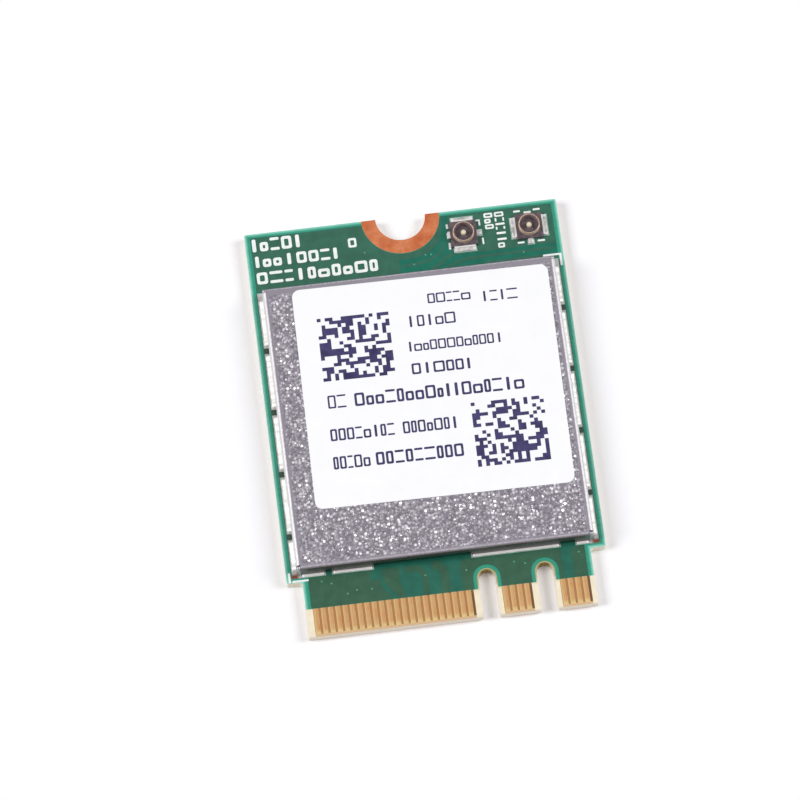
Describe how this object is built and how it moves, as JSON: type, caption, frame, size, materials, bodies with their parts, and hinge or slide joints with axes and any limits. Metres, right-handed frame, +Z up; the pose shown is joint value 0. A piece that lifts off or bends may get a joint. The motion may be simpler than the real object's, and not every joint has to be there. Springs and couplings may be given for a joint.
{
  "type": "wireless network card",
  "caption": "Thin green plug-in radio card with a soldered metal shield, a white label, antenna sockets by a half-round screw notch and a slotted contact edge.",
  "frame": {"origin": "middle of the card's underside", "axes": "+X across the card towards its first contact, +Y from the contact edge to the screw notch, +Z up from the underside to the component side"},
  "size_m": [0.022, 0.03, 0.0022],
  "materials": {
    "laminate": "satin",
    "lacquer": "gloss",
    "contact_gold": "polished",
    "bare_copper": "satin",
    "land_tin": "satin",
    "shield_sheet": "satin",
    "solder": "polished",
    "label_sheet": "satin",
    "port_gold": "polished",
    "dark_mould": "matte",
    "pale_ceramic": "satin",
    "dark_ceramic": "satin",
    "lid_metal": "satin"
  },
  "bodies": {
    "root": {"circuit_board": "laminate", "solder_mask_top": "lacquer", "solder_mask_bottom": "lacquer", "edge_contacts_top": "contact_gold", "edge_contacts_bottom": "contact_gold", "ground_ring_top": "bare_copper", "ground_ring_bottom": "bare_copper", "shield_lands": "bare_copper", "antenna_lands": "land_tin", "component_lands": "land_tin", "test_lands": "bare_copper", "shield_can": "shield_sheet", "shield_solder": "solder", "label": "label_sheet", "antenna_1_shell": "port_gold", "antenna_1_contact": "port_gold", "antenna_1_insulator": "dark_mould", "antenna_2_shell": "port_gold", "antenna_2_contact": "port_gold", "antenna_2_insulator": "dark_mould", "radio_chip": "dark_mould", "radio_chip_leads": "land_tin", "front_end_modules": "dark_mould", "band_filters": "pale_ceramic", "crystal_base": "pale_ceramic", "crystal_lid": "lid_metal", "power_inductors": "dark_ceramic", "inductor_ends": "land_tin", "capacitors": "pale_ceramic", "capacitor_ends": "land_tin", "resistors": "dark_ceramic", "resistor_ends": "land_tin", "settings_memory": "dark_mould"}
  },
  "joints": []
}
